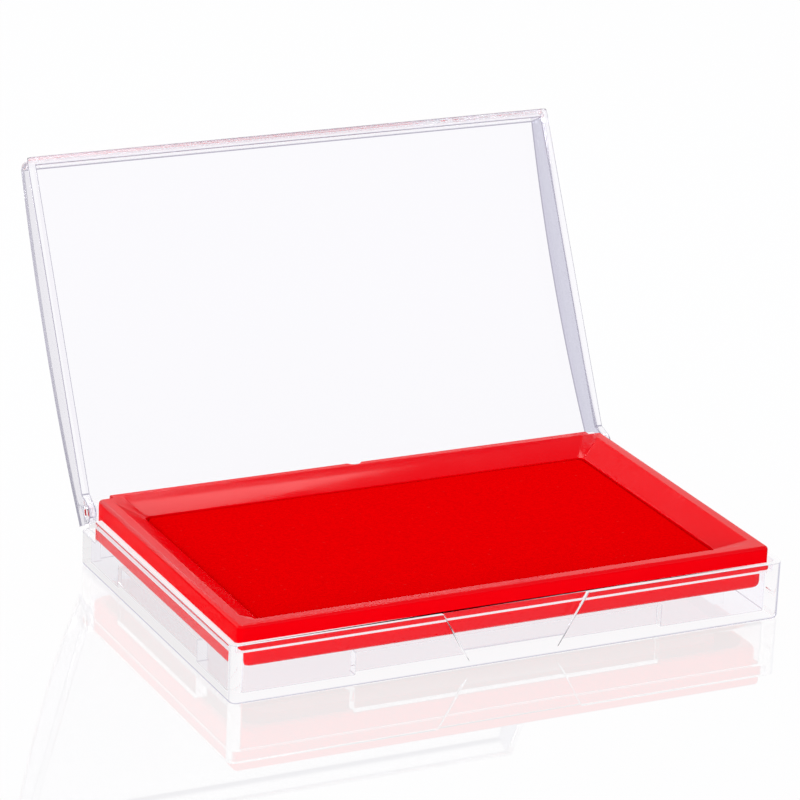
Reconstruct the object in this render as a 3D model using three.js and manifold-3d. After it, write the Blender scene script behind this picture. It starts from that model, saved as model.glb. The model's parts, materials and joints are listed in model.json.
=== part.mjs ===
// Stamp pad: a clear hinged case, a red tray that drops into it, and an inked foam pad under a cloth cover.
// Millimetres, +Z up. The origin is the centre of the base's underside, +X runs along the long side and
// +Y points to the hinge at the rear. The lid stands open against the base's rear wall.
import * as THREE from "three";
import { mergeVertices } from "three/addons/utils/BufferGeometryUtils.js";
import Module from "manifold-3d";

const wasm = await Module();
wasm.setup();

// Case
const caseLength = 137;
const caseDepth = 87;
const caseCornerRadius = 2;
const baseWallHeight = 13.9;
const baseEdgeRadius = 1;
const floorThickness = 1.8;
const wallThickness = 1.8;
const ledgeWidth = 1.4;
const ledgeDrop = 2.35;
const cavityCornerRadius = 0.8;
const rearWallRise = 1.7;
const supportLength = 76;
const supportSideLength = 45;
const supportWidth = 2.8;
const scallopTopWidth = 36;
const scallopBackWidth = 26.2;
const scallopFootWidth = 21.2;
const scallopDepth = 1;
const scallopBackHeight = 4.4;
const scallopFootHeight = 1.2;

// Hinge
const pivotInset = 3;
const pivotDrop = 0.3;
const openAngle = THREE.MathUtils.degToRad(117.6);
const studDiameter = 2.8;
const studSetback = 0.3;
const studClearance = 0.15;
const postWidth = 3.6;
const postMargin = 0.2;
const earRadius = 2.6;
const earThickness = 1.8;
const earFlare = 4.2;
const earGap = 0.3;
const recessRun = 2.1;
const recessGap = 0.6;

// Lid
const lidGap = 0.25;
const lidWall = 2.1;
const lidPlate = 1.1;
const lidArchRise = 3.15;
const lidFrontRadius = 2;
const lidRearRadius = 1.1;
const lidSideRadius = 0.8;
const lidRestGap = 0.3;
const lidRimGap = 0.4;
const lidHeadroom = 0.5;

// Tray
const traySideGap = 0.7;
const seatGap = 0.25;
const skirtGap = 0.5;
const skirtHeight = 4.5;
const skirtWall = 1.6;
const skirtCornerRadius = 2.5;
const skirtEdgeRadius = 1.2;
const rimHeight = 5.4;
const rimCornerRadius = 1.2;
const rimEdgeRadius = 0.9;
const landWidth = 2.75;
const landCornerRadius = 3;
const borderRun = 6;
const borderDrop = 3.2;
const wellCornerRadius = 1.5;
const trayWall = 1.5;
const hollowCornerRadius = 5;
const postClearance = 0.5;
const notchRadius = 1;
const notchDepth = 1.2;

// Pad
const padGap = 0.4;
const padEdgeRadius = 0.9;
const clothThickness = 0.5;
const softGap = 0.3;

// How finely round stretches are drawn, the least corner radius, the distance within which points are
// one, and how far a cutter runs past the face that it cuts.
const cornerSteps = 6;
const edgeSteps = 4;
const archSteps = 14;
const roundSteps = 32;
const leastRadius = 0.3;
const mergeDistance = 1e-4;
const past = 1;

// Heights and half sizes that the pieces share.
const halfLength = caseLength / 2;
const halfDepth = caseDepth / 2;
const ledgeHeight = baseWallHeight - ledgeDrop;
const rearWallTop = baseWallHeight + rearWallRise;
const lowerWall = wallThickness + ledgeWidth;
const pivotY = halfDepth - pivotInset;
const pivotZ = baseWallHeight - pivotDrop;
const studRadius = studDiameter / 2;
const postFace = halfLength - earThickness - earGap;
const postFront = pivotY - studRadius - postMargin;
const rimInset = Math.max(wallThickness + traySideGap, Math.max(lidWall, earThickness) + lidRimGap);
const skirtInset = lowerWall + skirtGap;
const rimUnderside = ledgeHeight + seatGap;
const rimTop = rimUnderside + rimHeight;
const trayBottom = rimUnderside - skirtHeight;
const wellTop = rimTop - borderDrop;
const wellFloor = trayBottom + trayWall;
const wellInset = rimInset + landWidth + borderRun;
const lidEdge = baseWallHeight + lidGap;
const lidRear = pivotY + earRadius;

// The open lid leans back until its plate's rear edge meets the base's rear face, and the closed lid clears
// the tray's rim, so the deeper of the two sets how high the plate's ends lie above the lid's free edge.
const lean = openAngle - Math.PI / 2;
const stopReach = (pivotInset + lidRestGap + earRadius * Math.sin(lean)) / Math.cos(lean);
const stopDepth = stopReach - (lidEdge - pivotZ);
const rimDepth = rimTop + lidHeadroom - lidEdge;
const lidEndHeight = Math.max(stopDepth, rimDepth) + lidPlate;

// The lowest point that an ear reaches inside the base's outline, with the lid open.
const earDip = earRadius * Math.cos(lean) + (pivotInset + earRadius * Math.sin(lean)) * Math.tan(lean);
const recessBottom = pivotZ - earDip - recessGap;
const recessFront = pivotY - earFlare - recessRun;

// A closed geometry as a solid that can be joined and cut.
function solidFrom(geometry) {
  const bare = geometry.clone();
  bare.deleteAttribute("normal");
  bare.deleteAttribute("uv");
  const merged = mergeVertices(bare, mergeDistance);
  const vertProperties = new Float32Array(merged.attributes.position.array);
  const triVerts = new Uint32Array(merged.index.array);
  return new wasm.Manifold(new wasm.Mesh({ numProp: 3, vertProperties, triVerts }));
}

function geometryFrom(solid) {
  const mesh = solid.getMesh();
  const geometry = new THREE.BufferGeometry();
  geometry.setAttribute("position", new THREE.BufferAttribute(mesh.vertProperties, 3));
  geometry.setIndex(new THREE.BufferAttribute(mesh.triVerts, 1));
  geometry.computeVertexNormals();
  return geometry;
}

// A box between two corners.
function boxBetween(low, high) {
  const size = high.map((value, axis) => value - low[axis]);
  const centre = high.map((value, axis) => (value + low[axis]) / 2);
  return solidFrom(new THREE.BoxGeometry(...size).translate(...centre));
}

// The corner points of a rounded rectangle about the origin, counter-clockwise.
function roundedRectangle(halfX, halfY, radius) {
  const points = [];
  const quarters = [[1, 1], [-1, 1], [-1, -1], [1, -1]];
  quarters.forEach(([sideX, sideY], quarter) => {
    for (let step = 0; step <= cornerSteps; step++) {
      const angle = ((quarter + step / cornerSteps) * Math.PI) / 2;
      const x = sideX * (halfX - radius) + radius * Math.cos(angle);
      const y = sideY * (halfY - radius) + radius * Math.sin(angle);
      points.push(new THREE.Vector2(x, y));
    }
  });
  return points;
}

// A closed skin over outlines with equal point counts, from the lowest level to the highest.
function loft(levels) {
  const count = levels[0].outline.length;
  const positions = levels.flatMap(({ outline, z }) => outline.flatMap((point) => [point.x, point.y, z]));
  const top = (levels.length - 1) * count;
  const faces = [];
  for (let level = 0; level < top; level += count) {
    for (let i = 0; i < count; i++) {
      const next = (i + 1) % count;
      faces.push(level + i, level + next, level + count + next);
      faces.push(level + i, level + count + next, level + count + i);
    }
  }
  for (const [a, b, c] of THREE.ShapeUtils.triangulateShape(levels[0].outline, [])) {
    faces.push(c, b, a);
  }
  for (const [a, b, c] of THREE.ShapeUtils.triangulateShape(levels.at(-1).outline, [])) {
    faces.push(top + a, top + b, top + c);
  }
  const geometry = new THREE.BufferGeometry();
  geometry.setAttribute("position", new THREE.Float32BufferAttribute(positions, 3));
  geometry.setIndex(faces);
  return geometry;
}

// An upright rounded block whose lower and upper edges are rounded too, where a radius is given.
function roundedBlock({ halfX, halfY, corner, bottom, top, bottomRadius = 0, topRadius = 0 }) {
  const levels = [];
  const addLevel = (inset, z) => {
    const outline = roundedRectangle(halfX - inset, halfY - inset, Math.max(corner - inset, leastRadius));
    levels.push({ outline, z });
  };
  const lowerSteps = bottomRadius > 0 ? edgeSteps : 0;
  for (let step = 0; step <= lowerSteps; step++) {
    const angle = lowerSteps ? (step / lowerSteps) * (Math.PI / 2) : Math.PI / 2;
    addLevel(bottomRadius * (1 - Math.sin(angle)), bottom + bottomRadius * (1 - Math.cos(angle)));
  }
  const upperSteps = topRadius > 0 ? edgeSteps : 0;
  for (let step = 0; step <= upperSteps; step++) {
    const angle = upperSteps ? (step / upperSteps) * (Math.PI / 2) : 0;
    addLevel(topRadius * (1 - Math.cos(angle)), top - topRadius * (1 - Math.sin(angle)));
  }
  return solidFrom(loft(levels));
}

// A shape drawn in Y and Z, carried along X between two places, with its ends rounded where asked.
function alongX(shape, fromX, toX, endRadius = 0) {
  const geometry = new THREE.ExtrudeGeometry(shape, {
    depth: toX - fromX - 2 * endRadius,
    curveSegments: archSteps,
    bevelEnabled: endRadius > 0,
    bevelThickness: endRadius,
    bevelSize: endRadius,
    bevelOffset: -endRadius,
    bevelSegments: edgeSteps,
  });
  const yzToWorld = new THREE.Matrix4().set(0, 0, 1, fromX + endRadius, 1, 0, 0, 0, 0, 1, 0, 0, 0, 0, 0, 1);
  return solidFrom(geometry.applyMatrix4(yzToWorld));
}

// A round bar along X through a point of the Y and Z plane.
function roundBar(radius, fromX, toX, y, z) {
  const bar = new THREE.CylinderGeometry(radius, radius, toX - fromX, roundSteps);
  return solidFrom(bar.rotateZ(Math.PI / 2).translate((fromX + toX) / 2, y, z));
}

// The trapezoid dip in the front wall where a thumb lifts the lid. Its lower face slopes out to the wall.
function thumbScallop() {
  const above = baseWallHeight + past;
  const flare = (scallopTopWidth - scallopBackWidth) / 2 / (baseWallHeight - scallopBackHeight);
  const topHalf = scallopTopWidth / 2 + flare * past;
  const trapezoid = (footHalf, foot) => [
    new THREE.Vector2(-footHalf, foot),
    new THREE.Vector2(footHalf, foot),
    new THREE.Vector2(topHalf, above),
    new THREE.Vector2(-topHalf, above),
  ];
  const back = trapezoid(scallopBackWidth / 2, scallopBackHeight);
  const front = trapezoid(scallopFootWidth / 2, scallopFootHeight);
  const dip = loft([
    { outline: back, z: halfDepth - scallopDepth },
    { outline: front, z: halfDepth },
    { outline: front, z: halfDepth + past },
  ]);
  return solidFrom(dip.rotateX(Math.PI / 2));
}

// Blocks on the inner walls that the tray's skirt stands on.
function traySupports() {
  const top = trayBottom - seatGap;
  const wallX = halfLength - wallThickness;
  const wallY = halfDepth - wallThickness;
  const innerX = halfLength - lowerWall - supportWidth;
  const innerY = halfDepth - lowerWall - supportWidth;
  const low = floorThickness / 2;
  return [-1, 1].flatMap((side) => {
    const [y0, y1] = [side * innerY, side * wallY].sort((a, b) => a - b);
    const [x0, x1] = [side * innerX, side * wallX].sort((a, b) => a - b);
    return [
      boxBetween([-supportLength / 2, y0, low], [supportLength / 2, y1, top]),
      boxBetween([x0, -supportSideLength / 2, low], [x1, supportSideLength / 2, top]),
    ];
  });
}

function caseBase() {
  const outside = {
    halfX: halfLength,
    halfY: halfDepth,
    corner: caseCornerRadius,
    bottom: 0,
    top: rearWallTop,
    bottomRadius: baseEdgeRadius,
  };
  const lowerCavity = {
    halfX: halfLength - lowerWall,
    halfY: halfDepth - lowerWall,
    corner: cavityCornerRadius,
    bottom: floorThickness,
    top: ledgeHeight + past,
  };
  const upperCavity = {
    halfX: halfLength - wallThickness,
    halfY: halfDepth - wallThickness,
    corner: cavityCornerRadius,
    bottom: ledgeHeight,
    top: rearWallTop + past,
  };
  const wallCut = boxBetween(
    [-halfLength - past, -halfDepth - past, baseWallHeight],
    [halfLength + past, halfDepth - wallThickness, rearWallTop + past],
  );
  let base = roundedBlock(outside).subtract(roundedBlock(lowerCavity)).subtract(roundedBlock(upperCavity));
  base = base.subtract(wallCut).subtract(thumbScallop());
  for (const support of traySupports()) {
    base = base.add(support);
  }
  for (const side of [-1, 1]) {
    const recess = [side * postFace, side * (halfLength + past)].sort((a, b) => a - b);
    const post = [side * (postFace - postWidth), side * postFace].sort((a, b) => a - b);
    const stud = [side * (postFace - postWidth / 2), side * (halfLength - studSetback)].sort((a, b) => a - b);
    base = base.subtract(
      boxBetween([recess[0], recessFront, recessBottom], [recess[1], halfDepth + past, rearWallTop + past]),
    );
    base = base.add(
      boxBetween(
        [post[0], postFront, floorThickness / 2],
        [post[1], halfDepth - wallThickness / 2, rearWallTop],
      ),
    );
    base = base.add(roundBar(studRadius, stud[0], stud[1], pivotY, pivotZ));
  }
  return base;
}

// The plate's arch, as a circle in Y and Z through the lid's two ends and its crown.
const archHalf = (lidRear + halfDepth) / 2;
const archMiddle = (lidRear - halfDepth) / 2;
const archRadius = (archHalf ** 2 + lidArchRise ** 2) / (2 * lidArchRise);
const archCentre = lidEdge + lidEndHeight + lidArchRise - archRadius;

// The height at a place along Y of a circle about the arch's centre.
function archHeight(radius, y) {
  return archCentre + Math.sqrt(radius ** 2 - (y - archMiddle) ** 2);
}

function lidOuterProfile() {
  const bottom = lidEdge - lidSideRadius - past;
  const frontY = -halfDepth + lidFrontRadius;
  const frontZ = archHeight(archRadius - lidFrontRadius, frontY);
  const rearY = lidRear - lidRearRadius;
  const rearZ = archHeight(archRadius - lidRearRadius, rearY);
  const frontAngle = Math.atan2(frontZ - archCentre, frontY - archMiddle);
  const rearAngle = Math.atan2(rearZ - archCentre, rearY - archMiddle);
  const profile = new THREE.Shape();
  profile.moveTo(-halfDepth, bottom);
  profile.lineTo(lidRear, bottom);
  profile.absarc(rearY, rearZ, lidRearRadius, 0, rearAngle, false);
  profile.absarc(archMiddle, archCentre, archRadius, rearAngle, frontAngle, false);
  profile.absarc(frontY, frontZ, lidFrontRadius, frontAngle, Math.PI, false);
  return profile;
}

// The hollow under the plate, from a place along Y to past the lid's rear end.
function lidHollowProfile(fromY) {
  const radius = archRadius - lidPlate;
  const toY = lidRear + past;
  const bottom = lidEdge - earRadius - past;
  const fromAngle = Math.atan2(archHeight(radius, fromY) - archCentre, fromY - archMiddle);
  const toAngle = Math.atan2(archHeight(radius, toY) - archCentre, toY - archMiddle);
  const profile = new THREE.Shape();
  profile.moveTo(fromY, bottom);
  profile.lineTo(toY, bottom);
  profile.absarc(archMiddle, archCentre, radius, toAngle, fromAngle, false);
  return profile;
}

// A hinge ear: a half disc round the pivot that flares into the side wall.
function earProfile() {
  const rise = lidEdge - pivotZ;
  const flareLength = Math.hypot(earFlare, rise);
  const flareAngle = Math.atan2(rise, -earFlare) + Math.acos(earRadius / flareLength);
  const root = lidEdge + lidPlate;
  const profile = new THREE.Shape();
  profile.moveTo(pivotY - earFlare, root);
  profile.lineTo(pivotY - earFlare, lidEdge);
  profile.absarc(pivotY, pivotZ, earRadius, flareAngle, 2 * Math.PI, false);
  profile.lineTo(lidRear, root);
  return profile;
}

// The lid as it lies when shut.
function caseLid() {
  const plan = roundedRectangle(halfLength, caseDepth, caseCornerRadius);
  const planBlock = loft([
    { outline: plan, z: lidEdge },
    { outline: plan, z: lidEdge + lidEndHeight + lidArchRise + past },
  ]).translate(0, halfDepth, 0);
  const wallInside = halfLength - lidWall;
  const earInside = halfLength - earThickness;
  let lid = alongX(lidOuterProfile(), -halfLength, halfLength, lidSideRadius);
  lid = lid.intersect(solidFrom(planBlock));
  lid = lid.subtract(alongX(lidHollowProfile(-halfDepth + lidWall), -wallInside, wallInside));
  if (earInside > wallInside) {
    lid = lid.subtract(alongX(lidHollowProfile(pivotY - earFlare), -earInside, earInside));
  }
  lid = lid.add(alongX(earProfile(), -halfLength, -earInside));
  lid = lid.add(alongX(earProfile(), earInside, halfLength));
  const holeRadius = studRadius + studClearance;
  return lid.subtract(roundBar(holeRadius, -halfLength - past, halfLength + past, pivotY, pivotZ));
}

// The tray's well with its sloped border, as the space that is taken out of the tray.
function trayWell() {
  const outline = (inset, corner) => roundedRectangle(halfLength - inset, halfDepth - inset, corner);
  const landInset = rimInset + landWidth;
  const space = loft([
    { outline: outline(wellInset, wellCornerRadius), z: wellFloor },
    { outline: outline(wellInset, wellCornerRadius), z: wellTop },
    { outline: outline(landInset, landCornerRadius), z: rimTop },
    { outline: outline(landInset, landCornerRadius), z: rimTop + past },
  ]);
  return solidFrom(space);
}

// The space under the sloped border, between the tray's skirt and its well, open below.
function trayHollow() {
  const outerInset = skirtInset + skirtWall;
  const innerInset = wellInset - trayWall;
  const slope = borderDrop / borderRun;
  const drop = trayWall * Math.hypot(1, slope);
  const heightUnderBorder = (inset) => wellTop + (wellInset - inset) * slope - drop;
  const outline = (inset) => roundedRectangle(halfLength - inset, halfDepth - inset, hollowCornerRadius);
  const bottom = trayBottom - past;
  const space = loft([
    { outline: outline(outerInset), z: bottom },
    { outline: outline(outerInset), z: heightUnderBorder(outerInset) },
  ]);
  const core = loft([
    { outline: outline(innerInset), z: bottom - past },
    { outline: outline(innerInset), z: heightUnderBorder(innerInset) },
    { outline: outline(outerInset), z: heightUnderBorder(outerInset) },
    { outline: outline(outerInset), z: rimTop },
  ]);
  return solidFrom(space).subtract(solidFrom(core));
}

function inkTray() {
  const rim = roundedBlock({
    halfX: halfLength - rimInset,
    halfY: halfDepth - rimInset,
    corner: rimCornerRadius,
    bottom: rimUnderside,
    top: rimTop,
    topRadius: rimEdgeRadius,
  });
  const skirt = roundedBlock({
    halfX: halfLength - skirtInset,
    halfY: halfDepth - skirtInset,
    corner: skirtCornerRadius,
    bottom: trayBottom,
    top: rimUnderside + rimHeight / 2,
    bottomRadius: skirtEdgeRadius,
  });
  let tray = rim.add(skirt).subtract(trayWell()).subtract(trayHollow());
  for (const side of [-1, 1]) {
    const inner = postFace - postWidth - postClearance;
    const span = [side * inner, side * (halfLength + past)].sort((a, b) => a - b);
    tray = tray.subtract(
      boxBetween(
        [span[0], postFront - postClearance, trayBottom - past],
        [span[1], halfDepth + past, rimTop + past],
      ),
    );
  }
  const notch = new THREE.CylinderGeometry(notchRadius, notchRadius, 2 * notchDepth, roundSteps);
  return tray.subtract(solidFrom(notch.rotateX(Math.PI / 2).translate(0, halfDepth - rimInset, rimTop)));
}

// The foam and its cover share the well's outline: the cover caps the foam and hides its sides.
function padBlock(inset, top, edgeRadius) {
  return roundedBlock({
    halfX: halfLength - wellInset - padGap - inset,
    halfY: halfDepth - wellInset - padGap - inset,
    corner: wellCornerRadius,
    bottom: wellFloor + softGap,
    top,
    topRadius: edgeRadius,
  });
}

function inkSponge() {
  return padBlock(clothThickness + softGap, wellTop - clothThickness - softGap, padEdgeRadius);
}

function padCloth() {
  const inside = padBlock(clothThickness, wellTop - clothThickness, padEdgeRadius);
  const below = boxBetween(
    [-halfLength, -halfDepth, wellFloor],
    [halfLength, halfDepth, wellFloor + softGap + clothThickness],
  );
  return padBlock(0, wellTop, padEdgeRadius).subtract(inside).subtract(below);
}

function addPiece(parent, name, solid, color, roughness, opacity = 1) {
  const material = new THREE.MeshStandardMaterial({ color, roughness, metalness: 0 });
  material.transparent = opacity < 1;
  material.opacity = opacity;
  const mesh = new THREE.Mesh(geometryFrom(solid), material);
  mesh.name = name;
  parent.add(mesh);
  return mesh;
}

const clearStyrene = 0xeeedf4;
const clearRoughness = 0.06;
const clearOpacity = 0.35;
const redStyrene = 0xe60a12;
const redRoughness = 0.18;
const redFoam = 0xb00008;
const foamRoughness = 0.95;
const inkedCloth = 0xe00006;
const clothRoughness = 0.8;

const stampPad = new THREE.Group();
stampPad.name = "stamp_pad";
addPiece(stampPad, "case_base", caseBase(), clearStyrene, clearRoughness, clearOpacity);
addPiece(stampPad, "ink_tray", inkTray(), redStyrene, redRoughness);
addPiece(stampPad, "ink_sponge", inkSponge(), redFoam, foamRoughness);
addPiece(stampPad, "pad_cloth", padCloth(), inkedCloth, clothRoughness);

// The lid hangs in a group at the hinge axis, which is turned from shut to open.
const lidHinge = new THREE.Group();
lidHinge.position.set(0, pivotY, pivotZ);
lidHinge.rotation.x = -openAngle;
stampPad.add(lidHinge);
const lid = addPiece(lidHinge, "case_lid", caseLid(), clearStyrene, clearRoughness, clearOpacity);
lid.position.set(0, -pivotY, -pivotZ);

export default stampPad;
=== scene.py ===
"""Stamp pad: a clear hinged case, a red tray and an inked pad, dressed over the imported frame."""
import json
import math

import bmesh
import bpy
from mathutils import Matrix, Vector


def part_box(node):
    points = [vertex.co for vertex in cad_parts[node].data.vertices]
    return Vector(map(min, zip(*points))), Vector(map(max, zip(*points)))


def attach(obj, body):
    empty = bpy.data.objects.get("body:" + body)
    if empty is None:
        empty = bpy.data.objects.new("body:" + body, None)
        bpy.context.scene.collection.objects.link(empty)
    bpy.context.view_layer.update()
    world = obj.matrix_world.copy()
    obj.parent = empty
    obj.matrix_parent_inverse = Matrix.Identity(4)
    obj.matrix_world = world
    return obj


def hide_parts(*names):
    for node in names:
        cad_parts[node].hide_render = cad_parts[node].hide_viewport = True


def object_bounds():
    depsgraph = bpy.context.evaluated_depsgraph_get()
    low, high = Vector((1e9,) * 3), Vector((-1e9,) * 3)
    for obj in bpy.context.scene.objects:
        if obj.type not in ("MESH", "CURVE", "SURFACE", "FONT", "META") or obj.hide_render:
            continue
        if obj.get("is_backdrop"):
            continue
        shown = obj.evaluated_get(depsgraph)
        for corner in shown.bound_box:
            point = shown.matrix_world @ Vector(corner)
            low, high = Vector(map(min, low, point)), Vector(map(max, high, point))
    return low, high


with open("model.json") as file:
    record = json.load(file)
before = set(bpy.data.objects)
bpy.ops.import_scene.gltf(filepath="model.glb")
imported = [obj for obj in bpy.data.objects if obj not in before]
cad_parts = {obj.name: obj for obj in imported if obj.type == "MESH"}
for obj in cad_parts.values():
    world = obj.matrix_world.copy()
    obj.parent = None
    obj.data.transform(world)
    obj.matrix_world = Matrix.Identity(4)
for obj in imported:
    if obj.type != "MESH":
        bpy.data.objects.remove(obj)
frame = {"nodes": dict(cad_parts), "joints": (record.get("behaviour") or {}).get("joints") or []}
cad_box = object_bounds()

bl_info = {
    "name": "Stamp Pad",
    "version": (1, 0, 0),
    "blender": (4, 5, 0),
    "location": "3D View > Sidebar > Stamp Pad",
    "description": "Builds a stamp pad in a clear hinged case on its packed frame",
    "category": "Add Mesh",
}

MM = 0.001

# Mesh attributes: an edge's share of the largest rounding, a face's share of the painted grey wall shade, and
# a face's share of the painted light on its edges.
ROUNDING = "bevel_weight_edge"
SHADED_WALLS = "painted_shade_wall"
LIT_EDGES = "painted_light_edge"

# The hinge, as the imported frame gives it: its axis runs along X, and at rest the lid is fully open.
HINGE = next(joint for joint in frame["joints"] if joint["name"] == "lid_hinge")
PIVOT = Vector(HINGE["pos_m"])
OPEN_ANGLE = math.radians(HINGE["range_deg"][1])

# Points of a CAD mesh this near are merged, points this near are level, and faces this near lie on a side.
MERGING = 0.002 * MM
SAME_LEVEL = 0.01 * MM
SAME_SIDE = 0.1 * MM

# Angles between two faces: up to the first they are one flat face, past the second their edge is rounded, and
# past the third it is a fold.
FLAT_ANGLE = math.radians(0.3)
SHARP_ANGLE = math.radians(28)
FOLD_ANGLE = math.radians(60)

# Parts of a unit normal along an axis: past the first a face slants, up to the second it counts as upright,
# past the third it looks sideways, and up to the fourth it isn't yet level.
SLANT = 0.15
UPRIGHT = 0.3
SIDEWAYS = 0.9
LEVEL = 0.97

# How finely round stretches are drawn.
ARCH_STEPS = 28
EAR_STEPS = 14
HOLE_SEGMENTS = 24
NICK_SEGMENTS = 32
CORNER_SEGMENTS = 5
EDGE_SEGMENTS = 4

# Real sizes in the finishes: waves and flow of moulded sheet, nap and lint of the cover, pores of the foam.
WAVE_LENGTH = 20 * MM
WAVE_HEIGHT = 0.02 * MM
FLOW_LENGTH = 9 * MM
FLOW_HEIGHT = 0.03 * MM
NAP_SPACING = 0.7 * MM
NAP_HEIGHT = 0.12 * MM
LINT_LENGTH = 1.3 * MM
PORE_SPACING = 0.6 * MM
PORE_DEPTH = 0.3 * MM

SETTLING_FRAMES = 30
LIGHT_BOUNCES = 256


def linear(code):
    """An sRGB hex colour as linear RGBA."""
    channels = [int(code[i:i + 2], 16) / 255 for i in (0, 2, 4)]
    return tuple(c / 12.92 if c <= 0.04045 else ((c + 0.055) / 1.055) ** 2.4 for c in channels) + (1.0,)


def length(name, description, millimetres):
    """A length property in metres, given in millimetres."""
    return bpy.props.FloatProperty(
        name=name, description=description, default=millimetres * MM, min=0.0, precision=5, unit="LENGTH"
    )


def position(name, description, metres):
    """A property for a place in the scene, in metres."""
    return bpy.props.FloatVectorProperty(
        name=name, description=description, default=metres, size=3, precision=5, subtype="TRANSLATION"
    )


def share(name, description, amount):
    """A property for a share of a whole."""
    return bpy.props.FloatProperty(
        name=name, description=description, default=amount, min=0.0, max=1.0, subtype="FACTOR"
    )


def colour(name, description, code):
    """A colour property, given as an sRGB hex colour."""
    return bpy.props.FloatVectorProperty(
        name=name, description=description, default=linear(code), size=4, min=0.0, max=1.0, subtype="COLOR"
    )


class StampPadSizes(bpy.types.PropertyGroup):
    """Sizes that the frame's boxes don't give."""

    lid_wall: length("Lid wall", "Thickness of the lid's front and side walls", 2.1)
    lid_plate: length("Lid plate", "Thickness of the lid's arched plate", 1.1)
    lid_free_edge: length("Lid free edge", "Height of the shut lid's lower edge", 14.15)
    lid_end_height: length("Lid end height", "Height of the plate's ends over the lower edge", 5.633)
    lid_arch_rise: length("Lid arch rise", "Height of the plate's crown over its ends", 3.15)
    lid_front_radius: length("Lid front radius", "Radius of the lid's front edge and front corners", 2.0)
    lid_side_radius: length("Lid side radius", "Radius of the lid's side edges", 1.4)
    lid_rear_radius: length("Lid rear radius", "Radius of the plate's rear edge", 1.1)
    ear_radius: length("Ear radius", "Radius of the hinge ears", 2.6)
    ear_thickness: length("Ear thickness", "Thickness of the hinge ears", 1.8)
    ear_flare: length("Ear flare", "Distance from the pivot at which an ear flares into the wall", 4.2)
    hole_radius: length("Hole radius", "Radius of the hole for the hinge stud", 1.55)
    # Painted light: above this height the base's edges take the pale painted light, and lower down they keep
    # more of the dark painted shade.
    lit_edge_height: length("Pale height", "Height over which the base's edges are pale", 9.0)
    lip_height: length("Lip height", "Height of the base's upper edge", 13.9)
    lip_edge: length("Lip edge", "Radius on the base's upper inner edge", 0.5)
    scallop_turn: length("Scallop turn", "Height at which the scallop's back turns out to the wall", 4.4)
    case_corner: length("Case corner", "Radius of the base's upright corners", 2.0)
    case_edge: length("Case edge", "Radius that the moulding leaves on the case's edges", 0.22)
    tray_edge: length("Tray edge", "Radius that the moulding leaves on the tray's edges", 0.2)
    border_edge: length("Border edge", "Radius where the tray's rim turns into its sloped border", 0.5)
    border_inset: length("Border inset", "Least distance of the sloped border from the tray's sides", 2.0)
    post_cut_length: length("Post cut length", "Length of the cuts that clear the base's posts", 4.2)
    post_cut_depth: length("Post cut depth", "Depth of the cuts that clear the base's posts", 3.2)
    nick_radius: length("Nick radius", "Radius of the nick in the tray's rear edge", 1.9)
    nick_depth: length("Nick depth", "Depth of the nick in the tray's rear edge", 1.2)
    nick_reach: length("Nick reach", "Half the stretch of the rear edge that stays sharp for the nick", 2.0)
    cloth_thickness: length("Cloth thickness", "Thickness of the pad's cover", 0.4)
    cloth_cell: length("Cloth cell", "Size of the simulated cover's cells", 2.0)
    pad_corner: length("Pad corner", "Radius of the pad's upright corners", 1.5)
    pad_edge: length("Pad edge", "Radius over which the cover turns down", 0.9)


class StampPadFinishes(bpy.types.PropertyGroup):
    """Colours and gloss of the finishes."""

    clear: colour("Clear styrene", "Surface tint of the case", "fdfcff")
    # Painted light and shade on the case: a dark lavender painted shade on small edges, a pale painted light
    # on upper edges and large rounds, and a grey painted shade on marked walls at a low angle.
    edge_shade: colour("Clear edge", "Tint of the case's small edges", "8a869a")
    edge_light: colour("Clear round", "Tint of the case's large rounds and upper edges", "f4f1f8")
    wall_shade: colour("Clear lid wall", "Tint of the lid's satin side walls seen at a low angle", "9d9cb8")
    clear_gloss: colour("Clear gloss", "Strength of what the case mirrors, face on", "8f8c9c")
    low_edge_light: share("Low paleness", "How pale the base's lower edges are", 0.6)
    left_wall_shade: share("Left tint", "How far the lid's left wall takes the right wall's tint", 0.2)
    red: colour("Red styrene", "Tray", "ff000c")
    top_gloss: share("Top gloss", "Specular level of the tray's top", 0.15)
    side_gloss: share("Side gloss", "Specular level of the tray's sides", 0.01)
    ink: colour("Ink", "Soaked cover of the pad", "ff0003")
    fibre: colour("Fibre", "Lighter fibres of the pad's cover", "f6201c")
    foam: colour("Foam", "Soaked foam under the cover", "b80004")
    floor: colour("Floor", "Table top", "ffffff")
    floor_white: share("Floor white", "How far the table keeps its white under a shadow", 0.94)
    # Painted shade: how much of the table's white is left, left of the case, as reflection rays see it.
    painted_shade_white: share("Left mirror", "Strength of the table's white that the case's left side mirrors", 0.15)


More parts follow.
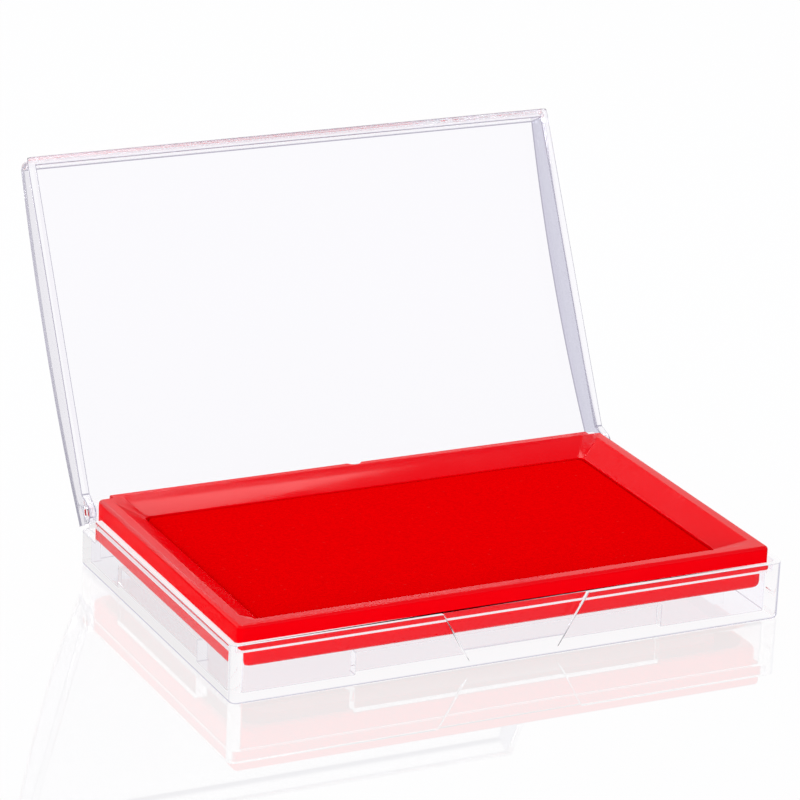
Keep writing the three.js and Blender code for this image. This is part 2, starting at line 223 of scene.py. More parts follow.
class StampPadStage(bpy.types.PropertyGroup):
    """Camera, floor and light."""

    eye: position("Eye", "Place of the camera", (-0.394350, -0.761681, 0.354099))
    gaze: bpy.props.FloatVectorProperty(
        name="Gaze",
        description="Turn of the camera",
        default=[math.radians(angle) for angle in (70.24273, -2.28632, -26.01464)],
        size=3,
        subtype="EULER",
    )
    lens: bpy.props.FloatProperty(
        name="Lens", description="Focal length on a 36 mm sensor, in millimetres", default=181.10, min=1.0
    )
    floor_half: length("Floor half", "Half the table top's width", 6000)
    floor_bite: length("Floor bite", "How far the case's underside is pressed against the floor", 0.05)
    backdrop: colour("Backdrop", "Paper behind and round the object", "ffffff")
    ceiling: colour("Ceiling", "Room over the object", "9a98aa")
    front_room: colour("Front room", "Room behind the eye", "cfcdda")
    key_power: bpy.props.FloatProperty(
        name="Key power", description="Power of the soft light overhead", default=2.8, min=0.0, unit="POWER"
    )
    key_place: position("Key place", "Place of the soft light overhead", (0.09, 0.32, 0.8))
    key_width: length("Key width", "Width of the soft light overhead", 500)
    key_height: length("Key height", "Height of the soft light overhead", 400)
    fill_power: bpy.props.FloatProperty(
        name="Fill power", description="Power of the soft light in front", default=8.6, min=0.0, unit="POWER"
    )
    fill_place: position("Fill place", "Place of the soft light in front", (-0.9, -1.1, 0.15))
    fill_width: length("Fill width", "Width of the soft light in front", 620)
    fill_height: length("Fill height", "Height of the soft light in front", 450)


def new_object(name, bm):
    """A bmesh as an object in the scene."""
    mesh = bpy.data.meshes.new(name)
    bm.to_mesh(mesh)
    bm.free()
    item = bpy.data.objects.new(name, mesh)
    bpy.context.scene.collection.objects.link(item)
    return item


def new_piece(name, bm, material, body, slot, *replaced):
    """A finished bmesh as a smooth-shaded object that rides on a body and stands for CAD nodes."""
    for face in bm.faces:
        face.smooth = True
    piece = new_object(name, bm)
    piece.data.materials.append(material)
    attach(piece, body)
    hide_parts(*replaced)
    return piece


def keep_evaluated(context, piece, modifier):
    """Makes a modifier's result the piece's mesh and removes the modifier."""
    old_mesh = piece.data
    piece.data = bpy.data.meshes.new_from_object(piece.evaluated_get(context.evaluated_depsgraph_get()))
    piece.modifiers.remove(modifier)
    bpy.data.meshes.remove(old_mesh)


def merged_copy(node_name):
    """A CAD node's mesh with its loose triangles merged into flat faces."""
    bm = bmesh.new()
    bm.from_mesh(frame["nodes"][node_name].data)
    bm.edges.layers.float.new(ROUNDING)
    bmesh.ops.remove_doubles(bm, verts=bm.verts, dist=MERGING)
    bmesh.ops.dissolve_limit(
        bm, angle_limit=FLAT_ANGLE, verts=bm.verts, edges=bm.edges, use_dissolve_boundaries=False
    )
    return bm


def weigh_edges(bm, weight_of):
    """Gives each sharp edge a share of the largest rounding, from a function of the edge."""
    weights = bm.edges.layers.float[ROUNDING]
    for edge in bm.edges:
        if edge.calc_face_angle(0.0) > SHARP_ANGLE:
            edge[weights] = weight_of(edge)


def round_edges(piece, radius):
    """Rounds a piece's weighted edges and keeps its flat faces flat in the shading."""
    rounding = piece.modifiers.new("moulded edges", "BEVEL")
    rounding.width = radius
    rounding.segments = EDGE_SEGMENTS
    rounding.limit_method = "WEIGHT"
    rounding.use_clamp_overlap = False
    shading = piece.modifiers.new("flat faces", "WEIGHTED_NORMAL")
    shading.keep_sharp = True


def add_node(tree, kind, settings=(), links=()):
    """A node with its options and socket values set, and its inputs linked to other nodes' outputs."""
    node = tree.nodes.new(kind)
    for name, value in dict(settings).items():
        if isinstance(name, int) or name in node.inputs:
            node.inputs[name].default_value = value
        else:
            setattr(node, name, value)
    for name, source in dict(links).items():
        tree.links.new(source, node.inputs[name])
    return node


def new_material(name):
    """A material with an empty node tree."""
    material = bpy.data.materials.new(name)
    material.use_nodes = True
    material.node_tree.nodes.clear()
    return material


def clear_polystyrene(finishes, name, tint, lit_tint):
    """Injection-moulded crystal polystyrene: a high index, so bright edges, and a tint for its surface, which
    a face attribute makes pale. On edges the tint is a dark painted shade, and where the attribute makes it
    pale it is a painted light. Walls that a face attribute marks take a grey painted shade at a low angle, as
    on the lid's side walls."""
    material = new_material(name)
    tree = material.node_tree
    place = add_node(tree, "ShaderNodeTexCoord")
    # Moulded sheet is never quite flat: a long wave bends what is mirrored in it.
    wave = add_node(
        tree,
        "ShaderNodeTexNoise",
        {"Scale": 1 / WAVE_LENGTH, "Detail": 1.0},
        {"Vector": place.outputs["Object"]},
    )
    bump = add_node(
        tree, "ShaderNodeBump", {"Strength": 0.02, "Distance": WAVE_HEIGHT}, {"Height": wave.outputs["Fac"]}
    )
    # Painted shade on edges, which this face attribute turns to painted light.
    pale = add_node(tree, "ShaderNodeAttribute", {"attribute_name": LIT_EDGES})
    shade = add_node(
        tree, "ShaderNodeMix", {"data_type": "RGBA", 6: tint, 7: lit_tint}, {"Factor": pale.outputs["Fac"]}
    )
    # Painted shade: walls that the face attribute marks turn grey at a low angle.
    angle = add_node(tree, "ShaderNodeLayerWeight", {"Blend": 0.5})
    shade_share = add_node(tree, "ShaderNodeAttribute", {"attribute_name": SHADED_WALLS})
    wall_share = add_node(
        tree,
        "ShaderNodeMapRange",
        {"From Min": 0.25, "From Max": 0.58},
        {"Value": angle.outputs["Facing"], "To Max": shade_share.outputs["Fac"]},
    )
    tone = add_node(
        tree,
        "ShaderNodeMix",
        {"data_type": "RGBA", 7: finishes.wall_shade},
        {"Factor": wall_share.outputs["Result"], 6: shade.outputs[2]},
    )
    surface = add_node(
        tree,
        "ShaderNodeBsdfPrincipled",
        {"Roughness": 0.02, "IOR": 1.5, "Transmission Weight": 1.0, "Specular Tint": finishes.clear_gloss},
        {"Base Color": tone.outputs[2], "Normal": bump.outputs["Normal"]},
    )
    add_node(tree, "ShaderNodeOutputMaterial", links={"Surface": surface.outputs["BSDF"]})
    return material


def red_polystyrene(finishes, name, gloss_level):
    """Moulded opaque polystyrene: an even red with a gloss that a faint flow texture breaks up. Its sides,
    which are drawn along the mould, have less gloss than its top."""
    material = new_material(name)
    tree = material.node_tree
    place = add_node(tree, "ShaderNodeTexCoord")
    flow = add_node(
        tree,
        "ShaderNodeTexNoise",
        {"Scale": 1 / FLOW_LENGTH, "Detail": 3.0},
        {"Vector": place.outputs["Object"]},
    )
    gloss = add_node(
        tree,
        "ShaderNodeMapRange",
        {"From Min": 0.3, "From Max": 0.7, "To Min": 0.09, "To Max": 0.17},
        {"Value": flow.outputs["Fac"]},
    )
    bump = add_node(
        tree, "ShaderNodeBump", {"Strength": 0.2, "Distance": FLOW_HEIGHT}, {"Height": flow.outputs["Fac"]}
    )
    surface = add_node(
        tree,
        "ShaderNodeBsdfPrincipled",
        {"Base Color": finishes.red, "IOR": 1.55, "Specular IOR Level": gloss_level},
        {"Roughness": gloss.outputs["Result"], "Normal": bump.outputs["Normal"]},
    )
    add_node(tree, "ShaderNodeOutputMaterial", links={"Surface": surface.outputs["BSDF"]})
    return material


def inked_cloth(finishes):
    """Fine woven cover soaked with ink: an even deep red, damp and matt, with a few lighter fibres."""
    material = new_material("woven cover, inked")
    tree = material.node_tree
    place = add_node(tree, "ShaderNodeTexCoord")
    # The real nap is finer than a pixel, so it is drawn coarse enough to show.
    nap = add_node(
        tree,
        "ShaderNodeTexNoise",
        {"Scale": 1 / NAP_SPACING, "Detail": 2.0},
        {"Vector": place.outputs["Object"]},
    )
    hollows = add_node(
        tree,
        "ShaderNodeMapRange",
        {"From Min": 0.35, "From Max": 0.75, "To Min": 0.0, "To Max": 0.3},
        {"Value": nap.outputs["Fac"]},
    )
    wet = add_node(
        tree,
        "ShaderNodeMix",
        {"data_type": "RGBA", 6: finishes.ink, 7: finishes.foam},
        {"Factor": hollows.outputs["Result"]},
    )
    lint = add_node(
        tree,
        "ShaderNodeTexNoise",
        {"Scale": 1 / LINT_LENGTH, "Detail": 1.0},
        {"Vector": place.outputs["Object"]},
    )
    sparse = add_node(
        tree,
        "ShaderNodeMapRange",
        {"From Min": 0.7, "From Max": 0.8, "To Min": 0.0, "To Max": 0.6},
        {"Value": lint.outputs["Fac"]},
    )
    tone = add_node(
        tree,
        "ShaderNodeMix",
        {"data_type": "RGBA", 7: finishes.fibre},
        {"Factor": sparse.outputs["Result"], 6: wet.outputs[2]},
    )
    bump = add_node(
        tree, "ShaderNodeBump", {"Strength": 0.5, "Distance": NAP_HEIGHT}, {"Height": nap.outputs["Fac"]}
    )
    surface = add_node(
        tree,
        "ShaderNodeBsdfPrincipled",
        {"IOR": 1.4, "Roughness": 0.75, "Specular IOR Level": 0.0},
        {"Base Color": tone.outputs[2], "Normal": bump.outputs["Normal"]},
    )
    add_node(tree, "ShaderNodeOutputMaterial", links={"Surface": surface.outputs["BSDF"]})
    return material


def inked_foam(finishes):
    """Open-cell foam soaked with ink: dark wet red, with pores about half a millimetre across."""
    material = new_material("open-cell foam, inked")
    tree = material.node_tree
    place = add_node(tree, "ShaderNodeTexCoord")
    pores = add_node(
        tree, "ShaderNodeTexVoronoi", {"Scale": 1 / PORE_SPACING}, {"Vector": place.outputs["Object"]}
    )
    bump = add_node(
        tree,
        "ShaderNodeBump",
        {"Strength": 0.8, "Distance": PORE_DEPTH},
        {"Height": pores.outputs["Distance"]},
    )
    surface = add_node(
        tree,
        "ShaderNodeBsdfPrincipled",
        {"Base Color": finishes.foam, "Roughness": 0.7},
        {"Normal": bump.outputs["Normal"]},
    )
    add_node(tree, "ShaderNodeOutputMaterial", links={"Surface": surface.outputs["BSDF"]})
    return material


def seen_directly(tree, path):
    """1 for what the eye sees straight, mirrored or through the clear case, and 0 for what only lights."""
    mirrored = add_node(
        tree,
        "ShaderNodeMath",
        {"operation": "ADD"},
        {0: path.outputs["Is Camera Ray"], 1: path.outputs["Is Glossy Ray"]},
    )
    return add_node(
        tree,
        "ShaderNodeMath",
        {"operation": "ADD", "use_clamp": True},
        {0: mirrored.outputs["Value"], 1: path.outputs["Is Transmission Ray"]},
    )


def white_table(finishes):
    """Gloss white laminate: an even white that mirrors the object softly under a low eye."""
    material = new_material("white laminate, gloss")
    tree = material.node_tree
    path = add_node(tree, "ShaderNodeLightPath")
    lit = add_node(tree, "ShaderNodeBsdfDiffuse", {"Color": finishes.floor})
    # Painted shade: the eye sees the table white on every side, but reflection rays see it darkened left of
    # the case, so the case's left side mirrors a painted shade.
    place = add_node(tree, "ShaderNodeTexCoord")
    across = add_node(tree, "ShaderNodeSeparateXYZ", links={"Vector": place.outputs["Object"]})
    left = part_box("case_base")[0].x
    shade = add_node(
        tree,
        "ShaderNodeMapRange",
        {"From Min": left - MM, "From Max": left, "To Min": finishes.painted_shade_white, "To Max": 1.0},
        {"Value": across.outputs["X"]},
    )
    strength = add_node(
        tree,
        "ShaderNodeMix",
        {"data_type": "FLOAT", 2: 1.0},
        {"Factor": path.outputs["Is Reflection Ray"], 3: shade.outputs["Result"]},
    )
    white = add_node(
        tree, "ShaderNodeEmission", {"Color": finishes.floor}, {"Strength": strength.outputs[0]}
    )
    white_share = add_node(
        tree,
        "ShaderNodeMath",
        {"operation": "MULTIPLY", 1: finishes.floor_white},
        {0: seen_directly(tree, path).outputs["Value"]},
    )
    even = add_node(
        tree,
        "ShaderNodeMixShader",
        links={0: white_share.outputs["Value"], 1: lit.outputs["BSDF"], 2: white.outputs["Emission"]},
    )
    mirror = add_node(tree, "ShaderNodeBsdfGlossy", {"Color": finishes.floor, "Roughness": 0.015})
    gloss = add_node(tree, "ShaderNodeFresnel", {"IOR": 1.8})
    seen_gloss = add_node(
        tree,
        "ShaderNodeMath",
        {"operation": "MULTIPLY"},
        {0: gloss.outputs["Fac"], 1: path.outputs["Is Camera Ray"]},
    )
    table = add_node(
        tree,
        "ShaderNodeMixShader",
        links={0: seen_gloss.outputs["Value"], 1: even.outputs["Shader"], 2: mirror.outputs["BSDF"]},
    )
    add_node(tree, "ShaderNodeOutputMaterial", links={"Surface": table.outputs["Shader"]})
    return material


def clear_base(sizes, finishes):
    """The base: the CAD solid, with its faces marked for the painted light on its edges and the painted grey
    wall shade, and its edges weighed for rounding.
    """
    bm = merged_copy("case_base")
    pale = bm.faces.layers.float.new(LIT_EDGES)
    shade_share = bm.faces.layers.float.new(SHADED_WALLS)
    for face in bm.faces:
        out = face.normal
        # Painted light on the upper edges, with less of it lower down, so the lower edges keep more painted
        # shade.
        face[pale] = 1.0 if face.calc_center_median().z > sizes.lit_edge_height else finishes.low_edge_light
        # Painted shade: corner rounds and downward faces take the grey wall shade.
        corner = min(abs(out.x), abs(out.y)) > SLANT and abs(out.z) < UPRIGHT
        face[shade_share] = 1.0 if corner or -LEVEL < out.z < -SLANT else 0.0
    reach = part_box("case_base")[1].xy - Vector((sizes.case_corner, sizes.case_corner))
    small = sizes.case_edge / sizes.lip_edge

    def weight_of(edge):
        """The full rounding for the lip's inner edge, and the small one for every other."""
        for vert in edge.verts:
            past = Vector((max(abs(vert.co.x) - reach.x, 0.0), max(abs(vert.co.y) - reach.y, 0.0)))
            outer = past.length > sizes.case_corner - SAME_SIDE
            if outer or abs(vert.co.z - sizes.lip_height) > SAME_LEVEL:
                return small
        return 1.0

    weigh_edges(bm, weight_of)
    # The scallop's back turns too gently to count as sharp, and its line is still seen.
    weights = bm.edges.layers.float[ROUNDING]
    for edge in bm.edges:
        at_front = all(vert.co.y < -reach.y for vert in edge.verts)
        if at_front and all(abs(vert.co.z - sizes.scallop_turn) < SAME_LEVEL for vert in edge.verts):
            edge[weights] = small
    return bm


def edge_between(bm, first, second):
    """The edge between two vertices, made if there is none."""
    return bm.edges.get((first, second)) or bm.edges.new((first, second))


def linked_line(bm, verts):
    """Edges that join vertices in order."""
    return [edge_between(bm, a, b) for a, b in zip(verts, verts[1:])]


def spun_line(bm, start, centre, angle, steps):
    """The vertices of an arc in a plane across X, from a start point about a centre."""
    first = bmesh.ops.create_vert(bm, co=start)["vert"][0]
    before = set(bm.verts)
    bmesh.ops.spin(bm, geom=[first], cent=centre, axis=(1, 0, 0), angle=angle, steps=steps)
    line = [first]
    fresh = set(bm.verts) - before
    while fresh:
        nearest = next(e.other_vert(line[-1]) for e in line[-1].link_edges if e.other_vert(line[-1]) in fresh)
        fresh.discard(nearest)
        line.append(nearest)
    return line


def lid_outline(bm, sizes, x, ear_x, front, under):
    """One side's outline of the shut lid in a plane across X: its arch, front and free edge with the ear.
    Under is how far the arch lies below the plate's outer face. Returns the arch, the rest and the hole."""
    low = Vector((0.0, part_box("case_base")[0].y, sizes.lid_free_edge))
    rear = PIVOT.y + sizes.ear_radius
    half = (rear - low.y) / 2
    radius = (half ** 2 + sizes.lid_arch_rise ** 2) / (2 * sizes.lid_arch_rise)
    ends = low.z + sizes.lid_end_height
    centre = Vector((x, (rear + low.y) / 2, ends + sizes.lid_arch_rise - radius))
    radius -= under
    from_angle = math.acos((rear - centre.y) / radius)
    to_angle = math.acos((front - centre.y) / radius)
    start = centre + radius * Vector((0.0, math.cos(from_angle), math.sin(from_angle)))
    arch = spun_line(bm, start, centre, to_angle - from_angle, ARCH_STEPS)
    rise = low.z - PIVOT.z
    flare = math.hypot(sizes.ear_flare, rise)
    touch = math.atan2(rise, -sizes.ear_flare) + math.acos(sizes.ear_radius / flare)
    pivot = Vector((ear_x, PIVOT.y, PIVOT.z))
    start = pivot + sizes.ear_radius * Vector((0.0, math.cos(touch), math.sin(touch)))
    ear = spun_line(bm, start, pivot, 2 * math.pi - touch, EAR_STEPS)
    corner = bm.verts.new((x, front, low.z))
    root = bm.verts.new((x, PIVOT.y - sizes.ear_flare, low.z))
    across = Matrix.Translation(pivot) @ Matrix.Rotation(math.pi / 2, 4, "Y")
    hole = bmesh.ops.create_circle(bm, radius=sizes.hole_radius, segments=HOLE_SEGMENTS, matrix=across)
    return arch, [corner, root, *ear], hole["verts"]


def clear_lid(sizes, finishes):
    """The lid, built shut and then turned open: two skins joined along their free edges, with hinge ears."""
    bm = bmesh.new()
    bm.edges.layers.float.new(ROUNDING)
    shade_share = bm.faces.layers.float.new(SHADED_WALLS)
    pale = bm.faces.layers.float.new(LIT_EDGES)
    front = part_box("case_base")[0].y
    outer_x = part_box("case_base")[1].x
    inner_x = outer_x - sizes.lid_wall
    soft = {}
    outlines = {}
    for side in (-1, 1):
        for skin, x, ear_x, from_y, under in (
            ("outer", outer_x, outer_x, front, 0.0),
            ("inner", inner_x, outer_x - sizes.ear_thickness, front + sizes.lid_wall, sizes.lid_plate),
        ):
            arch, rest, hole = lid_outline(bm, sizes, side * x, side * ear_x, from_y, under)
            ring = linked_line(bm, [*arch, *rest, arch[0]])
            hole_edges = list({e for v in hole for e in v.link_edges})
            bmesh.ops.triangle_fill(bm, use_beauty=True, edges=ring + hole_edges)
            outlines[side, skin] = arch, rest, hole_edges
            for edge in linked_line(bm, arch):
                soft[edge] = sizes.lid_side_radius if skin == "outer" else sizes.case_edge
        outer, inner = outlines[side, "outer"], outlines[side, "inner"]
        walls = [linked_line(bm, [*arch[-1:], *rest, arch[0]])[1:] for arch, rest, hole in (outer, inner)]
        bmesh.ops.bridge_loops(bm, edges=walls[0] + walls[1])
        bmesh.ops.bridge_loops(bm, edges=outer[2] + inner[2])
    for skin in ("outer", "inner"):
        lines = [outlines[side, skin][0] + outlines[side, skin][1][:1] for side in (-1, 1)]
        bmesh.ops.bridge_loops(bm, edges=linked_line(bm, lines[0]) + linked_line(bm, lines[1]))
    for end in (0, -1):
        corners = [
            (outlines[side, skin][0] + outlines[side, skin][1][:1])[end]
            for side, skin in ((-1, "outer"), (-1, "inner"), (1, "inner"), (1, "outer"))
        ]
        bm.faces.new(corners)
    bmesh.ops.recalc_face_normals(bm, faces=bm.faces)
    for face in bm.faces:
        middle = face.calc_center_median()
        inside = abs(middle.x) < outer_x - SAME_SIDE
        # Painted shade: the lid's inner side walls take the grey wall shade, the right one fully and the left
        # one in part.
        if inside and abs(face.normal.x) > SIDEWAYS:
            face[shade_share] = 1.0 if middle.x > 0 else finishes.left_wall_shade
        # Painted light on the edges of outer, front and upward faces. The other edges keep the dark painted
        # shade.
        if not inside or middle.y < front + SAME_SIDE or face.normal.z > UPRIGHT:
            face[pale] = 1.0
    for side in (-1, 1):
        arch, rest, hole = outlines[side, "outer"]
        soft[edge_between(bm, arch[-1], rest[0])] = sizes.lid_front_radius
    left_arch, right_arch = [outlines[side, "outer"][0] for side in (-1, 1)]
    soft[edge_between(bm, left_arch[-1], right_arch[-1])] = sizes.lid_front_radius
    soft[edge_between(bm, left_arch[0], right_arch[0])] = sizes.lid_rear_radius
    weigh_edges(bm, lambda edge: soft.get(edge, sizes.case_edge) / sizes.lid_front_radius)
    turn = Matrix.Rotation(-OPEN_ANGLE, 3, "X")
    bmesh.ops.rotate(bm, verts=bm.verts, cent=PIVOT, matrix=turn)
    return bm


class STAMPPAD_OT_clear_case(bpy.types.Operator):
    """Build the clear base and its lid"""

    bl_idname = "stamp_pad.clear_case"
    bl_label = "Clear case"

    def execute(self, context):
        sizes = context.scene.stamp_pad_sizes
        finishes = context.scene.stamp_pad_finishes
        material = clear_polystyrene(finishes, "clear polystyrene, moulded", finishes.clear, finishes.clear)
        # The edge material's tint is a dark painted shade on small edges and a pale painted light on upper
        # edges and large rounds.
        edge_material = clear_polystyrene(
            finishes, "clear polystyrene, edge with painted shade", finishes.edge_shade, finishes.edge_light
        )
        base_mesh = clear_base(sizes, finishes)
        base = new_piece("clear_base", base_mesh, material, "base", "clear_styrene", "case_base")
        round_edges(base, sizes.lip_edge)
        lid_mesh = clear_lid(sizes, finishes)
        lid = new_piece("clear_lid", lid_mesh, material, "lid", "clear_styrene", "case_lid")
        round_edges(lid, sizes.lid_front_radius)
        for piece in (base, lid):
            piece.data.materials.append(edge_material)
            piece.modifiers["moulded edges"].material = 1
            piece.visible_shadow = False
            piece.visible_diffuse = False
        return {"FINISHED"}


def red_tray(sizes):
    """The tray: the CAD solid, with its sides in the second finish and its edges weighed for rounding."""
    bm = merged_copy("ink_tray")
    for face in bm.faces:
        face.material_index = 1 if abs(face.normal.z) < UPRIGHT else 0
    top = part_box("ink_tray")[1]
    small = sizes.tray_edge / sizes.border_edge

    def weight_of(edge):
        """The full rounding for the border's upper edge, none at the cuts, and the small one elsewhere."""
        middle = (edge.verts[0].co + edge.verts[1].co) / 2
        at_cut = abs(middle.x) > top.x - sizes.post_cut_length or abs(middle.x) < sizes.nick_reach
        if at_cut and middle.y > top.y - sizes.post_cut_depth:
            return 0.0
        inside = abs(middle.x) < top.x - sizes.border_inset and abs(middle.y) < top.y - sizes.border_inset
        level = all(abs(vert.co.z - top.z) < SAME_LEVEL for vert in edge.verts)
        return 1.0 if inside and level else small

    weigh_edges(bm, weight_of)
    return bm


def cut_nick(context, tray, sizes):
    """Cuts the half-round nick in the middle of the tray's rear edge."""
    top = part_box("ink_tray")[1]
    bm = bmesh.new()
    bmesh.ops.create_cone(
        bm,
        cap_ends=True,
        segments=NICK_SEGMENTS,
        radius1=sizes.nick_radius,
        radius2=sizes.nick_radius,
        depth=2 * sizes.nick_depth,
        matrix=Matrix.Translation((0.0, top.y, top.z)),
    )
    cutter = new_object("nick", bm)
    cutter_mesh = cutter.data
    cut = tray.modifiers.new("nick", "BOOLEAN")
    cut.operation = "DIFFERENCE"
    cut.solver = "EXACT"
    cut.object = cutter
    keep_evaluated(context, tray, cut)
    bpy.data.objects.remove(cutter)
    bpy.data.meshes.remove(cutter_mesh)


class STAMPPAD_OT_red_tray(bpy.types.Operator):
    """Build the red tray"""

    bl_idname = "stamp_pad.red_tray"
    bl_label = "Red tray"

    def execute(self, context):
        sizes = context.scene.stamp_pad_sizes
        finishes = context.scene.stamp_pad_finishes
        material = red_polystyrene(finishes, "red polystyrene, moulded", finishes.top_gloss)
        side_material = red_polystyrene(finishes, "red polystyrene, moulded side", finishes.side_gloss)
        tray = new_piece("red_tray", red_tray(sizes), material, "tray", "red_styrene", "ink_tray")
        tray.data.materials.append(side_material)
        cut_nick(context, tray, sizes)
        round_edges(tray, sizes.border_edge)
        return {"FINISHED"}


def folds(bm):
    """The edges at which a block's faces meet at about a right angle."""
    return [edge for edge in bm.edges if edge.calc_face_angle(0.0) > FOLD_ANGLE]


def round_block(bm, top, sizes):
    """Rounds the upright corners of the pad's foam or cover, and then the edge round its face."""
    upright = [e for e in folds(bm) if abs(e.verts[0].co.z - e.verts[1].co.z) > MM]
    bmesh.ops.bevel(
        bm,
        geom=upright,
        offset=sizes.pad_corner,
        segments=CORNER_SEGMENTS,
        profile=0.5,
        affect="EDGES",
        material=-1,
    )
    rim = [e for e in folds(bm) if all(v.co.z > top - SAME_LEVEL for v in e.verts)]
    bmesh.ops.bevel(
        bm, geom=rim, offset=sizes.pad_edge, segments=EDGE_SEGMENTS, profile=0.5, affect="EDGES", material=-1
    )


class STAMPPAD_OT_foam_pad(bpy.types.Operator):
    """Build the foam under the cover"""

    bl_idname = "stamp_pad.foam_pad"
    bl_label = "Foam pad"

    def execute(self, context):
        low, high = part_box("ink_sponge")
        bm = bmesh.new()
        bmesh.ops.create_cube(bm, size=1.0)
        bmesh.ops.scale(bm, verts=bm.verts, vec=high - low)
        bmesh.ops.translate(bm, verts=bm.verts, vec=(low + high) / 2)
        round_block(bm, high.z, context.scene.stamp_pad_sizes)
        material = inked_foam(context.scene.stamp_pad_finishes)
        foam = new_piece("foam_pad", bm, material, "tray", "ink_foam", "ink_sponge")
        return {"FINISHED"}


def turned_down_sheet(sizes, low, high):
    """The cover before it swells: a grid over the pad's face, with sides turned down to its hem."""
    size = high - low
    cells = [round(span / sizes.cloth_cell) for span in size.xy]
    bm = bmesh.new()
    bmesh.ops.create_grid(bm, x_segments=cells[0], y_segments=cells[1], size=0.5)
    bmesh.ops.scale(bm, verts=bm.verts, vec=(size.x, size.y, 1.0))
    bmesh.ops.translate(bm, verts=bm.verts, vec=((low.x + high.x) / 2, (low.y + high.y) / 2, high.z))
    sides = bmesh.ops.extrude_edge_only(bm, edges=[e for e in bm.edges if e.is_boundary])["geom"]
    hem = [element for element in sides if isinstance(element, bmesh.types.BMVert)]
    bmesh.ops.translate(bm, verts=hem, vec=(0.0, 0.0, -size.z))
    round_block(bm, high.z, sizes)
    bmesh.ops.recalc_face_normals(bm, faces=bm.faces)
    return bm


def swell(context, cover, held_height):
    """Lets the foam push the stretched cover up a little: cloth held by its turned-down sides, under a slight
    pressure. The settled shape is kept as the cover's mesh."""
    held = cover.vertex_groups.new(name="held")
    held.add([v.index for v in cover.data.vertices if v.co.z < held_height], 1.0, "REPLACE")
    cloth = cover.modifiers.new("swelling", "CLOTH")
    cloth.settings.quality = 6
    cloth.settings.mass = 0.02
    cloth.settings.vertex_group_mass = held.name
    cloth.settings.tension_stiffness = 40.0
    cloth.settings.compression_stiffness = 40.0
    cloth.settings.use_pressure = True
    cloth.settings.uniform_pressure_force = 0.05
    cloth.settings.effector_weights.gravity = 0.0
    cloth.collision_settings.use_collision = False
    cloth.point_cache.frame_start = 1
    cloth.point_cache.frame_end = SETTLING_FRAMES
    for number in range(1, SETTLING_FRAMES + 1):
        context.scene.frame_set(number)
    keep_evaluated(context, cover, cloth)
    context.scene.frame_set(1)


class STAMPPAD_OT_pad_cloth(bpy.types.Operator):
    """Build the inked cover that is stretched over the foam"""

    bl_idname = "stamp_pad.pad_cloth"
    bl_label = "Pad cover"

    def execute(self, context):
        sizes = context.scene.stamp_pad_sizes
        low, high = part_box("pad_cloth")
        sheet = turned_down_sheet(sizes, low, high)
        material = inked_cloth(context.scene.stamp_pad_finishes)
        cover = new_piece("pad_cover", sheet, material, "tray", "inked_cloth", "pad_cloth")
        swell(context, cover, high.z - sizes.pad_edge)
        thickness = cover.modifiers.new("cloth thickness", "SOLIDIFY")
        thickness.thickness = sizes.cloth_thickness
        thickness.offset = -1.0
        return {"FINISHED"}


def table_top(finishes, stage):
    """The floor, as a plain square."""
    bm = bmesh.new()
    bmesh.ops.create_grid(bm, x_segments=1, y_segments=1, size=stage.floor_half)
    bmesh.ops.translate(bm, verts=bm.verts, vec=(0.0, 0.0, stage.floor_bite))
    floor = new_object("floor", bm)
    floor.data.materials.append(white_table(finishes))
    return floor


def studio_room(stage):
    """White paper round the object, with a darker room behind the eye and a darker ceiling."""
    world = bpy.data.worlds.new("studio")
    world.use_nodes = True
    tree = world.node_tree
    tree.nodes.clear()
    direction = add_node(tree, "ShaderNodeTexCoord")
    heading = add_node(tree, "ShaderNodeSeparateXYZ", links={"Vector": direction.outputs["Generated"]})
    # The ceiling sets in between 30 and 40 degrees up, and the front room where the rear turns to the front.
    above = add_node(
        tree, "ShaderNodeMapRange", {"From Min": 0.5, "From Max": 0.65}, {"Value": heading.outputs["Z"]}
    )
    before = add_node(
        tree, "ShaderNodeMapRange", {"From Min": 0.3, "From Max": -0.3}, {"Value": heading.outputs["Y"]}
    )
    walls = add_node(
        tree,
        "ShaderNodeMix",
        {"data_type": "RGBA", 6: stage.backdrop, 7: stage.front_room},
        {"Factor": before.outputs["Result"]},
    )
    sky = add_node(
        tree,
        "ShaderNodeMix",
        {"data_type": "RGBA", 7: stage.ceiling},
        {"Factor": above.outputs["Result"], 6: walls.outputs[2]},
    )
    room = add_node(tree, "ShaderNodeBackground", {"Strength": 1.0}, {"Color": sky.outputs[2]})
    add_node(tree, "ShaderNodeOutputWorld", links={"Surface": room.outputs["Background"]})
    return world


def softbox(name, power, place, width, height):
    """A soft rectangular lamp that faces the object."""
    lamp = bpy.data.lights.new(name, "AREA")
    lamp.shape = "RECTANGLE"
    lamp.size = width
    lamp.size_y = height
    lamp.energy = power
    item = bpy.data.objects.new(name, lamp)
    item.location = place
    item.rotation_euler = place.to_track_quat("Z", "Y").to_euler()
    return item


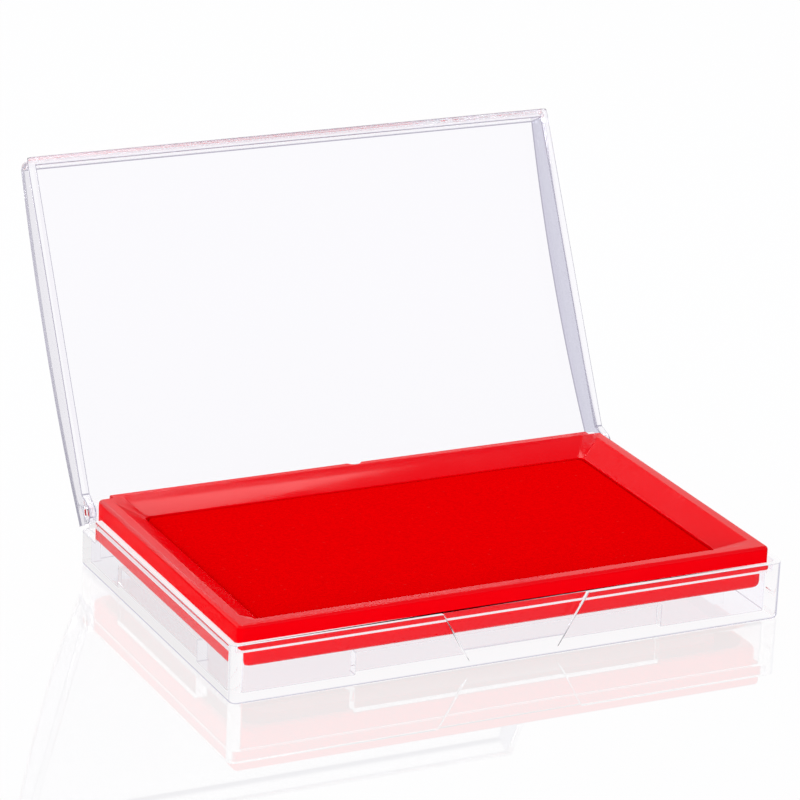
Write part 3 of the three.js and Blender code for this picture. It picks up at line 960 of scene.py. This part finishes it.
class STAMPPAD_OT_stage(bpy.types.Operator):
    """Set up the floor, the light and the camera"""

    bl_idname = "stamp_pad.stage"
    bl_label = "Stage"

    def execute(self, context):
        scene = context.scene
        stage = scene.stamp_pad_stage
        scene.view_settings.view_transform = "Standard"
        # Light runs a long way along a clear wall before it leaves, so its paths are let run too.
        scene.cycles.max_bounces = LIGHT_BOUNCES
        scene.cycles.transmission_bounces = LIGHT_BOUNCES
        scene.cycles.glossy_bounces = LIGHT_BOUNCES
        floor = table_top(scene.stamp_pad_finishes, stage)
        floor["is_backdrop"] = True
        scene.world = studio_room(stage)
        key = softbox(
            "overhead softbox", stage.key_power, stage.key_place, stage.key_width, stage.key_height
        )
        fill = softbox(
            "front softbox", stage.fill_power, stage.fill_place, stage.fill_width, stage.fill_height
        )
        camera = bpy.data.objects.new("camera", bpy.data.cameras.new("camera"))
        camera.data.lens = stage.lens
        camera.location = stage.eye
        camera.rotation_euler = stage.gaze
        for item in (key, fill, camera):
            scene.collection.objects.link(item)
        scene.camera = camera
        return {"FINISHED"}


class STAMPPAD_PT_panel(bpy.types.Panel):
    """Lists the stamp pad's sizes, finishes and steps"""

    bl_idname = "STAMPPAD_PT_panel"
    bl_label = "Stamp Pad"
    bl_space_type = "VIEW_3D"
    bl_region_type = "UI"
    bl_category = "Stamp Pad"

    def draw(self, context):
        for group in (
            context.scene.stamp_pad_sizes,
            context.scene.stamp_pad_finishes,
            context.scene.stamp_pad_stage,
        ):
            box = self.layout.box()
            for name in group.__annotations__:
                box.prop(group, name)
        for operator in OPERATORS:
            self.layout.operator(operator.bl_idname)


OPERATORS = (
    STAMPPAD_OT_stage,
    STAMPPAD_OT_clear_case,
    STAMPPAD_OT_red_tray,
    STAMPPAD_OT_foam_pad,
    STAMPPAD_OT_pad_cloth,
)
CLASSES = (StampPadSizes, StampPadFinishes, StampPadStage, *OPERATORS, STAMPPAD_PT_panel)


def register():
    """Registers the classes and gives the scene their settings."""
    for cls in CLASSES:
        bpy.utils.register_class(cls)
    bpy.types.Scene.stamp_pad_sizes = bpy.props.PointerProperty(type=StampPadSizes)
    bpy.types.Scene.stamp_pad_finishes = bpy.props.PointerProperty(type=StampPadFinishes)
    bpy.types.Scene.stamp_pad_stage = bpy.props.PointerProperty(type=StampPadStage)


def unregister():
    """Takes the settings off the scene and unregisters the classes."""
    del bpy.types.Scene.stamp_pad_stage
    del bpy.types.Scene.stamp_pad_finishes
    del bpy.types.Scene.stamp_pad_sizes
    for cls in reversed(CLASSES):
        bpy.utils.unregister_class(cls)


def main():
    """Builds the stage and the pieces."""
    register()
    bpy.ops.stamp_pad.stage()
    bpy.ops.stamp_pad.clear_case()
    bpy.ops.stamp_pad.red_tray()
    bpy.ops.stamp_pad.foam_pad()
    bpy.ops.stamp_pad.pad_cloth()
    boxes = {"cad": cad_box, "visual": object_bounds()}
    {name: [list(corner) for corner in box] for name, box in boxes.items()}


if __name__ == "__main__":
    main()
